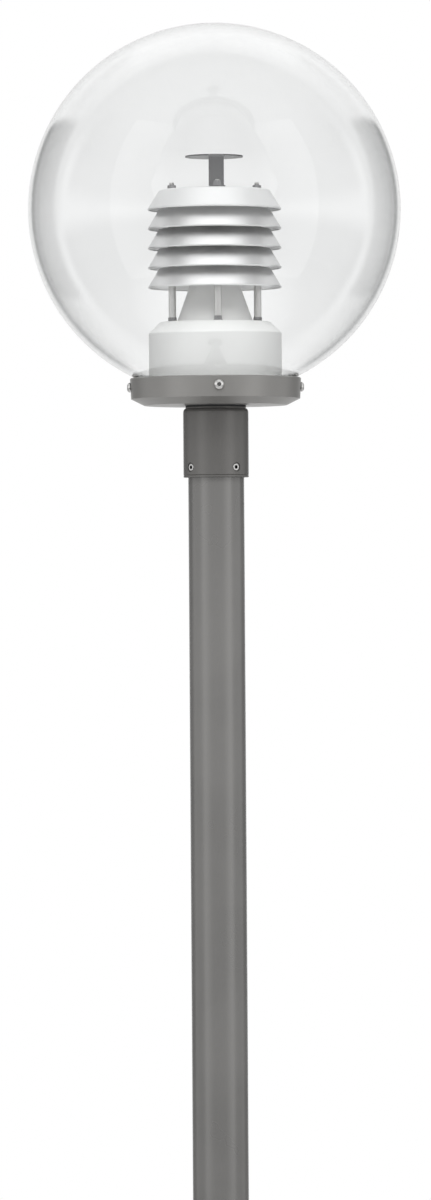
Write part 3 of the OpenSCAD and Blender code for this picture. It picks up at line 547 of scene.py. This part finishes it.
FINISHES: tuple[Finish, ...] = (
    Paint("pole_paint", (0.218, 0.214, 0.208), 0.3, peel_scale=700.0, dust=0.05),
    Paint("cast_paint", (0.27, 0.264, 0.255), 0.36, peel_scale=420.0, peel_depth=0.00012, dust=0.12),
    # A darker copy of cast_paint for the sleeve: painted shade for the canopy's shadow on it.
    Paint("sleeve_shaded_paint", (0.16, 0.156, 0.15), 0.38, peel_scale=420.0, peel_depth=0.00012, dust=0.05),
    Paint("base_paint", (0.245, 0.24, 0.232), 0.36, dust=0.3),
    Paint("deflector_paint", (0.122, 0.122, 0.125), 0.36, dust=0.1),
    ClearAcrylic("clear_acrylic", (0.927, 0.931, 0.931), 0.0),
    Metal("louvre_aluminium", (0.92, 0.92, 0.92), 0.4, Grain.SPUN, tarnish=0.1),
    Metal("cap_aluminium", (0.84, 0.84, 0.84), 0.5, Grain.SPUN, tarnish=0.1, metallic=0.5),
    Metal("housing_aluminium", (0.96, 0.96, 0.95), 0.5, Grain.SPUN, tarnish=0.1, metallic=0.27),
    Metal("cone_aluminium", (0.93, 0.925, 0.915), 0.45, Grain.SPUN, tarnish=0.1, metallic=0.2),
    # The stainless finish carries painted shade in its sockets and corners.
    Metal("stainless", (0.66, 0.655, 0.645), 0.34, Grain.DRAWN, cavity_shade=0.9),
    Metal("zinc_steel", (0.62, 0.63, 0.65), 0.35, Grain.ROLLED, tarnish=0.4),
    Metal("dark_steel", (0.27, 0.27, 0.275), 0.5, Grain.ROLLED, metallic=0.6),
    Metal("can_aluminium", (0.78, 0.78, 0.79), 0.3, Grain.DRAWN),
    Metal("brass", (0.8, 0.6, 0.28), 0.25, Grain.DRAWN),
    Moulded("coil_resin", (0.3, 0.11, 0.03), 0.3, coat=0.5),
    Moulded("black_rubber", (0.02, 0.02, 0.021), 0.7, texture_scale=1800.0),
    Moulded("white_silicone", (0.74, 0.74, 0.72), 0.55),
    Moulded("grey_plastic", (0.28, 0.28, 0.29), 0.45),
    Moulded("block_plastic", (0.72, 0.7, 0.63), 0.45),
    Moulded("porcelain", (0.86, 0.85, 0.81), 0.22, texture_scale=60.0, coat=1.0),
    Moulded("lamp_glass", (0.9, 0.9, 0.87), 0.2, texture_scale=90.0, coat=0.6),
)


def make_finishes() -> dict[str, Material]:
    """Makes the shared effect groups and every finish.

    Returns:
        Each finish's material by its name. That is the record's slot, but for the sleeve's and the cap's.
    """
    groups = {"paint": PaintFilm().make(), "moulding": Moulding().make()}
    groups.update({grain.value: MetalGrain(grain).make() for grain in Grain})
    return {finish.name: finish.make(groups) for finish in FINISHES}


class MeshSketch:
    """Collects the vertices and faces of one new piece."""

    def __init__(self, name: str) -> None:
        """Starts an empty piece.

        Args:
            name: The piece's name.
        """
        self.name = name
        self.points: list[tuple[float, float, float]] = []
        self.faces: list[tuple[int, ...]] = []

    def sweep(self, sections: list[list[tuple[float, float, float]]], closed: bool) -> None:
        """Skins a row of sections that have the same number of points.

        Args:
            sections: The sections, each a closed outline.
            closed: Whether the last section joins the first one.
        """
        start, size, count = len(self.points), len(sections[0]), len(sections)
        for section in sections:
            self.points.extend(section)
        for i in range(count if closed else count - 1):
            here, there = start + i * size, start + (i + 1) % count * size
            for j in range(size):
                k = (j + 1) % size
                self.faces.append((here + j, here + k, there + k, there + j))
        if not closed:
            self.faces.append(tuple(range(start + size - 1, start - 1, -1)))
            self.faces.append(tuple(range(start + (count - 1) * size, start + count * size)))

    def finish(self, material: Material, slot: str) -> Object:
        """Makes the piece's object, dresses it and lets it ride on the lamp.

        Args:
            material: What the piece wears.
            slot: The record's slot that its finish stands for. Not used.

        Returns:
            The new object.
        """
        mesh = bpy.data.meshes.new(self.name)
        mesh.from_pydata(self.points, [], self.faces)
        mesh.shade_smooth()
        mesh.materials.append(material)
        piece = bpy.data.objects.new(self.name, mesh)
        bpy.context.scene.collection.objects.link(piece)
        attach(piece, "root")
        return piece


@dataclass
class SubAssembly:
    """Nodes of the CAD model that belong together, with what each of them wears."""

    title: str
    wears: dict[str, str]

    def build_meshes(self, finishes: dict[str, Material]) -> list[Object]:
        """Makes the pieces that only the scene has, which is none unless a sub-assembly says so."""
        return []

    def dress(self, nodes: dict[str, Object], finishes: dict[str, Material]) -> None:
        """Gives each node its finish and logs it.

        Args:
            nodes: The CAD nodes' objects by name.
            finishes: The materials by name.
        """
        for name, finish in self.wears.items():
            for slot in nodes[name].material_slots:
                slot.material = finishes[finish]
            log.info("%s: %s wears %s", self.title, name, finish)

    def build(self, nodes: dict[str, Object], finishes: dict[str, Material]) -> None:
        """Builds the sub-assembly's own pieces and dresses its nodes.

        Args:
            nodes: The CAD nodes' objects by name.
            finishes: The materials by name.
        """
        for piece in self.build_meshes(finishes):
            log.info("%s: made %s with %d faces", self.title, piece.name, len(piece.data.polygons))
        self.dress(nodes, finishes)


@dataclass
class Pole(SubAssembly):
    """The pole, its foot and its sleeve, with the ripples of the weld round the foot."""

    title: str = "pole"
    # The sleeve wears a darker copy of the cast paint, as painted shade under the canopy.
    wears: dict[str, str] = field(default_factory=lambda: {
        "base_flange": "base_paint", "pole_tube": "pole_paint", "pole_sleeve": "sleeve_shaded_paint",
        "sleeve_set_screws": "stainless", "sleeve_gasket": "black_rubber"})
    pole_radius: float = 0.03
    flange_height: float = 0.012
    weld_leg: float = 0.006
    weld_proud: float = 0.0006
    ripple_floor: float = 0.35
    ripple_count: int = 96
    steps_per_ripple: int = 6
    # The bead's section: shares of the leg outwards and upwards, and of the ripple's swell
    weld_section: tuple[tuple[float, float, float], ...] = (
        (0.0, 0.0, 0.0), (1.0, 0.0, 0.0), (0.78, 0.22, 0.8), (0.5, 0.5, 1.0), (0.22, 0.78, 0.8),
        (0.0, 1.0, 0.0))

    def build_meshes(self, finishes: dict[str, Material]) -> list[Object]:
        """Makes the weld bead as one closed ring of overlapping scales.

        Args:
            finishes: The materials by name.

        Returns:
            The bead.
        """
        sketch = MeshSketch("weld_bead")
        steps = self.ripple_count * self.steps_per_ripple
        sections = []
        for i in range(steps):
            turn = 2 * math.pi * i / steps
            past = i % self.steps_per_ripple / self.steps_per_ripple
            proud = self.weld_proud * (self.ripple_floor + (1 - self.ripple_floor) * math.sqrt(1 - past))
            section = []
            for out, up, swell in self.weld_section:
                radius = self.pole_radius + self.weld_leg * out + proud * swell
                height = self.flange_height + self.weld_leg * up + proud * swell
                section.append((radius * math.cos(turn), radius * math.sin(turn), height))
            sections.append(section)
        sketch.sweep(sections, closed=True)
        return [sketch.finish(finishes["base_paint"], "base_paint")]


@dataclass
class Canopy(SubAssembly):
    """The cast dish with its bolts and the cable's grommet."""

    title: str = "canopy"
    wears: dict[str, str] = field(default_factory=lambda: {
        "canopy": "cast_paint", "canopy_bolts": "stainless", "cable_grommet": "black_rubber"})


@dataclass
class Globe(SubAssembly):
    """The clear globe with its gasket and screws."""

    title: str = "globe"
    wears: dict[str, str] = field(default_factory=lambda: {
        "globe": "clear_acrylic", "globe_gasket": "white_silicone", "globe_screws": "stainless"})


@dataclass
class ControlGear(SubAssembly):
    """The gear housing and what stands on the tray inside it."""

    title: str = "control gear"
    wears: dict[str, str] = field(default_factory=lambda: {
        "gear_housing": "housing_aluminium", "gear_tray": "zinc_steel", "tray_nuts": "stainless",
        "ballast_core": "dark_steel", "ballast_winding": "coil_resin", "ballast_screws": "stainless",
        "capacitor": "can_aluminium", "ignitor": "grey_plastic", "stud_nuts": "stainless",
        "terminal_block": "block_plastic", "terminal_screws": "brass", "earth_screw": "brass"})


@dataclass
class LampAndHolder(SubAssembly):
    """The lamp, its porcelain holder and the bracket that carries them."""

    title: str = "lamp"
    wears: dict[str, str] = field(default_factory=lambda: {
        "holder_bracket": "zinc_steel", "bracket_screws": "stainless", "lampholder_body": "porcelain",
        "lampholder_shell": "brass", "holder_contact": "brass", "lamp": "lamp_glass"})


@dataclass
class LouvreOptic(SubAssembly):
    """The cone, rings, cap and deflector on their tie rods, with the threads at the rods' ends."""

    title: str = "louvre optic"
    wears: dict[str, str] = field(default_factory=lambda: {
        "cone_reflector": "cone_aluminium", "tie_rods": "stainless", "foot_washers": "stainless",
        "foot_nuts": "dark_steel", "lower_spacers": "stainless", "louvre_ring_1": "louvre_aluminium",
        "louvre_ring_2": "louvre_aluminium", "louvre_ring_3": "louvre_aluminium",
        "louvre_ring_4": "louvre_aluminium", "ring_spacers": "stainless", "louvre_cap": "cap_aluminium",
        "heat_deflector": "deflector_paint", "cap_washers": "stainless", "rod_nuts": "dark_steel"})
    rod_count: int = 4
    rod_circle: float = 0.0458
    rod_radius: float = 0.0025
    rod_azimuth: float = 3.9
    pitch: float = 0.0005
    ridge: float = 0.00012
    ridge_bury: float = 0.0001
    ridge_half_foot: float = 0.4
    end_chamfer: float = 0.0005
    washer_t: float = 0.001
    steps_per_turn: int = 40
    fade_steps: int = 10

    def build_meshes(self, finishes: dict[str, Material]) -> list[Object]:
        """Makes the thread ridges on the rod ends that stand out of the upper nuts.

        Args:
            finishes: The materials by name.

        Returns:
            The ridges as one piece.
        """
        sketch = MeshSketch("rod_threads")
        nut_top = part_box("rod_nuts")[1][2]
        washers_low, washers_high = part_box("cap_washers")
        front_lift = washers_high[2] - washers_low[2] - self.washer_t
        rod_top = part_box("tie_rods")[1][2] - self.end_chamfer
        for i in range(self.rod_count):
            turn = math.radians(self.rod_azimuth - 90 + i * 360 / self.rod_count)
            low = nut_top - (0.0 if i == 0 else front_lift)
            self.thread(sketch, self.rod_circle * math.cos(turn), self.rod_circle * math.sin(turn),
                        low + self.pitch / 2, rod_top - self.pitch / 2)
        return [sketch.finish(finishes["stainless"], "stainless")]

    def thread(self, sketch: MeshSketch, x: float, y: float, low: float, high: float) -> None:
        """Winds one ridge round a rod.

        Args:
            sketch: The piece that takes it.
            x: Where the rod's axis stands in x.
            y: Where it stands in y.
            low: Height at which the ridge starts.
            high: Height at which it ends.
        """
        count = max(int((high - low) / self.pitch * self.steps_per_turn), 2)
        sections = []
        for i in range(count + 1):
            turn = 2 * math.pi * i / self.steps_per_turn
            rise = low + (high - low) * i / count
            fade = min(i, count - i, self.fade_steps) / self.fade_steps
            inner, outer = self.rod_radius - self.ridge_bury, self.rod_radius + self.ridge * fade
            foot = self.pitch * self.ridge_half_foot
            sections.append([(x + radius * math.cos(turn), y + radius * math.sin(turn), rise + lift)
                             for radius, lift in ((inner, -foot), (outer, 0.0), (inner, foot))])
        sketch.sweep(sections, closed=False)


@dataclass
class Studio:
    """A pale floor, a white surround and soft boxes.

    What shiny surfaces see is set by the parts of the direction that they look in, where y is away from
    the camera and z is up. Each span says where one zone gives way to the next.
    """

    floor_radius: float = 7.0
    floor_sides: int = 128
    floor_fade: Span = (0.9, 6.3)
    floor_colour: Colour = (0.86, 0.86, 0.855)
    floor_roughness: float = 0.9
    floor_specular: float = 0.1
    box_distance: float = 1.65
    box_width: float = 0.98
    box_low: float = 0.9
    box_high: float = 4.0
    box_azimuth: float = 47.0
    box_radiance: float = 0.6
    box_strength: dict[Side, float] = field(default_factory=lambda: {Side.LEFT: 1.0, Side.RIGHT: 1.12})
    box_shine: Span = (0.35, 1.3)
    box_shine_reach: float = 0.8
    overhead_radiance: float = 3.5
    overhead_size: float = 2.4
    overhead_forward: float = 1.5
    overhead_rise: float = 2.0
    head_z: float = 2.232
    ambient: float = 0.46
    front_gloss: float = 1.08
    below_front: Span = (-0.2, 0.0)
    below_share: float = 0.1
    above_front: Span = (0.25, 0.6)
    above_share: float = 0.5
    backdrop: Span = (0.27, 0.41)
    rim_gloss: float = 1.18
    rim_inner: Span = (0.38, 0.54)
    rim_outer: Span = (0.965, 0.86)
    card_gloss: float = 0.24
    card_top: Span = (0.66, 0.54)
    card_foot: Span = (-1.15, -0.9)
    optic_gloss: float = 1.9
    optic_light: Span = (0.5, 0.97)
    optic_tilt: float = 30.0
    inside_depth: float = 3.5

    def build(self) -> None:
        """Makes the world, the floor and the lights."""
        self.world()
        self.floor()
        for side in Side:
            self.soft_box(side)
        self.overhead()
        log.info("studio: world, floor and three lights")

    def world(self) -> None:
        """A surround that is white straight on and through glass, and a studio to what reflects it."""
        world = bpy.data.worlds.new("studio")
        world.use_nodes = True
        world.cycles.sampling_method = "NONE"
        bpy.context.scene.world = world
        graph = NodeGraph(world.node_tree)
        path = graph.add("ShaderNodeLightPath").outputs
        mirrored = graph.math("GREATER_THAN", path["Glossy Depth"], 0.5)
        unmirrored = graph.math("SUBTRACT", 1.0, mirrored)
        white = graph.math("MAXIMUM", path["Is Camera Ray"],
                           graph.math("MULTIPLY", path["Is Transmission Ray"], unmirrored))
        inside = graph.math("GREATER_THAN", path["Transmission Depth"], self.inside_depth)
        gloss = graph.math("MULTIPLY", mirrored, self.gloss(graph, inside))
        plain = graph.math("MULTIPLY", path["Is Diffuse Ray"], self.ambient)
        strength = graph.math("MAXIMUM", graph.math("MAXIMUM", white, gloss), plain)
        background = world.node_tree.nodes["Background"]
        background.inputs["Color"].default_value = (1.0, 1.0, 1.0, 1.0)
        graph.feed(background.inputs["Strength"], strength)

    def gloss(self, graph: NodeGraph, inside: NodeSocket) -> NodeSocket:
        """What shiny surfaces see: a white backdrop with a bright rim round it, and dark cards beside it.

        The front is dimmer below and above, and what lies in the globe also sees a light above the front.

        Args:
            graph: The world's graph.
            inside: 1 for a ray that has come out of the globe's inside, 0 for others.

        Returns:
            The strength in the ray's direction.
        """
        direction = graph.add("ShaderNodeSeparateXYZ")
        graph.feed(direction.inputs[0], graph.add("ShaderNodeTexCoord").outputs["Generated"])
        x, y, z = direction.outputs
        low = graph.span(z, *self.below_front, self.front_gloss * self.below_share, self.front_gloss)
        front = graph.span(z, *self.above_front, low, self.front_gloss * self.above_share)
        back = graph.span(y, *self.backdrop, front, 1.0)
        rim = graph.math("MULTIPLY", graph.span(y, *self.rim_inner), graph.span(y, *self.rim_outer))
        rise = graph.math("ARCTAN2", z, graph.math("ABSOLUTE", x))
        card = graph.math("MULTIPLY", graph.span(rise, *self.card_top), graph.span(rise, *self.card_foot))
        level = graph.span(card, 0.0, 1.0, self.rim_gloss, self.card_gloss)
        seen = graph.math("MULTIPLY", back, graph.span(rim, 0.0, 1.0, 1.0, level))
        tilt = math.radians(self.optic_tilt)
        toward = graph.math("ADD", graph.math("MULTIPLY", y, -math.sin(tilt)),
                            graph.math("MULTIPLY", z, math.cos(tilt)))
        above = graph.math("MULTIPLY", inside, graph.span(toward, *self.optic_light, 0.0, self.optic_gloss))
        return graph.math("MAXIMUM", seen, above)

    def floor(self) -> None:
        """A pale disc that fades out into the white surround and keeps the lamp's shadow."""
        bpy.ops.mesh.primitive_circle_add(vertices=self.floor_sides, radius=self.floor_radius,
                                          fill_type="NGON")
        disc = bpy.context.object
        disc.name = "studio_floor"
        material, graph, shader = Finish("floor_paper", self.floor_colour, self.floor_roughness).shader()
        shader.inputs["Base Color"].default_value = (*self.floor_colour, 1.0)
        shader.inputs["Roughness"].default_value = self.floor_roughness
        shader.inputs["Specular IOR Level"].default_value = self.floor_specular
        length = graph.add("ShaderNodeVectorMath", operation="LENGTH")
        graph.feed(length.inputs[0], graph.add("ShaderNodeTexCoord").outputs["Object"])
        graph.blend_to_clear(material, graph.span(length.outputs["Value"], *self.floor_fade), shader)
        disc.data.materials.append(material)

    def area(self, name: str, width: float, height: float, radiance: float) -> Object:
        """Makes an area light that the camera doesn't see, straight on or through the globe.

        Args:
            name: The light's name.
            width: Its width in metres.
            height: Its height in metres.
            radiance: How bright its face is, where 1 is white.

        Returns:
            The light's object.
        """
        data = bpy.data.lights.new(name, "AREA")
        data.shape = "RECTANGLE"
        data.size, data.size_y = width, height
        data.energy = radiance * math.pi * width * height
        light = bpy.data.objects.new(name, data)
        light.visible_camera = False
        light.visible_transmission = False
        bpy.context.scene.collection.objects.link(light)
        return light

    def soft_box(self, side: Side) -> None:
        """Stands a tall soft box in front of the lamp, brighter towards its outer edge.

        Args:
            side: The side of the lamp that it stands on.
        """
        light = self.area(f"soft_box_{side.name.lower()}", self.box_width, self.box_high - self.box_low,
                          self.box_radiance * self.box_strength[side])
        turn = math.radians(side.value * self.box_azimuth)
        light.location = (self.box_distance * math.sin(turn), -self.box_distance * math.cos(turn),
                          (self.box_low + self.box_high) / 2)
        light.rotation_euler = (math.pi / 2, 0.0, turn)
        light.data.use_nodes = True
        graph = NodeGraph(light.data.node_tree)
        place = graph.add("ShaderNodeSeparateXYZ")
        graph.feed(place.inputs[0], graph.add("ShaderNodeNewGeometry").outputs["Parametric"])
        inner, outer = self.box_shine
        if side is Side.RIGHT:
            shine = graph.span(place.outputs["X"], 0.0, self.box_shine_reach, inner, outer)
        else:
            shine = graph.span(place.outputs["X"], 1.0 - self.box_shine_reach, 1.0, outer, inner)
        graph.feed(light.data.node_tree.nodes["Emission"].inputs["Strength"], shine)

    def overhead(self) -> None:
        """Hangs a broad light above the front, turned to the lamp, which shiny surfaces don't show."""
        light = self.area("overhead", self.overhead_size, self.overhead_size, self.overhead_radiance)
        light.visible_glossy = False
        light.location = (0.0, -self.overhead_forward, self.head_z + self.overhead_rise)
        light.rotation_euler = (math.atan2(self.overhead_forward, self.overhead_rise), 0.0, 0.0)


@dataclass
class PhotoCamera:
    """The camera as the photograph has it: level, with a slight roll."""

    distance: float = 6.6
    height: float = 1.8135
    axis_x_px: float = 217.0
    scale_px_per_m: float = 932.0
    roll: float = 0.38

    def build(self) -> None:
        """Makes the camera and sets it as the scene's."""
        data = bpy.data.cameras.new("photo_camera")
        data.sensor_width = SENSOR_MM
        data.lens = self.scale_px_per_m * self.distance * SENSOR_MM / PHOTO_HEIGHT
        camera = bpy.data.objects.new("photo_camera", data)
        aside = (PHOTO_WIDTH / 2 - self.axis_x_px) / self.scale_px_per_m
        camera.location = (aside, -self.distance, self.height)
        camera.rotation_euler = (math.pi / 2, math.radians(self.roll), 0.0)
        bpy.context.scene.collection.objects.link(camera)
        bpy.context.scene.camera = camera
        log.info("camera: %.1f m away, %.3f m high", self.distance, self.height)


def main() -> None:
    """Builds and dresses the sub-assemblies, then the studio and the camera."""
    logging.basicConfig(level=logging.INFO, format="%(name)s: %(message)s")
    bpy.context.scene.view_settings.view_transform = "Standard"
    finishes = make_finishes()
    for part in (Pole(), Canopy(), Globe(), ControlGear(), LampAndHolder(), LouvreOptic()):
        part.build(frame["nodes"], finishes)
    Studio().build()
    PhotoCamera().build()


if __name__ == "__main__":
    main()
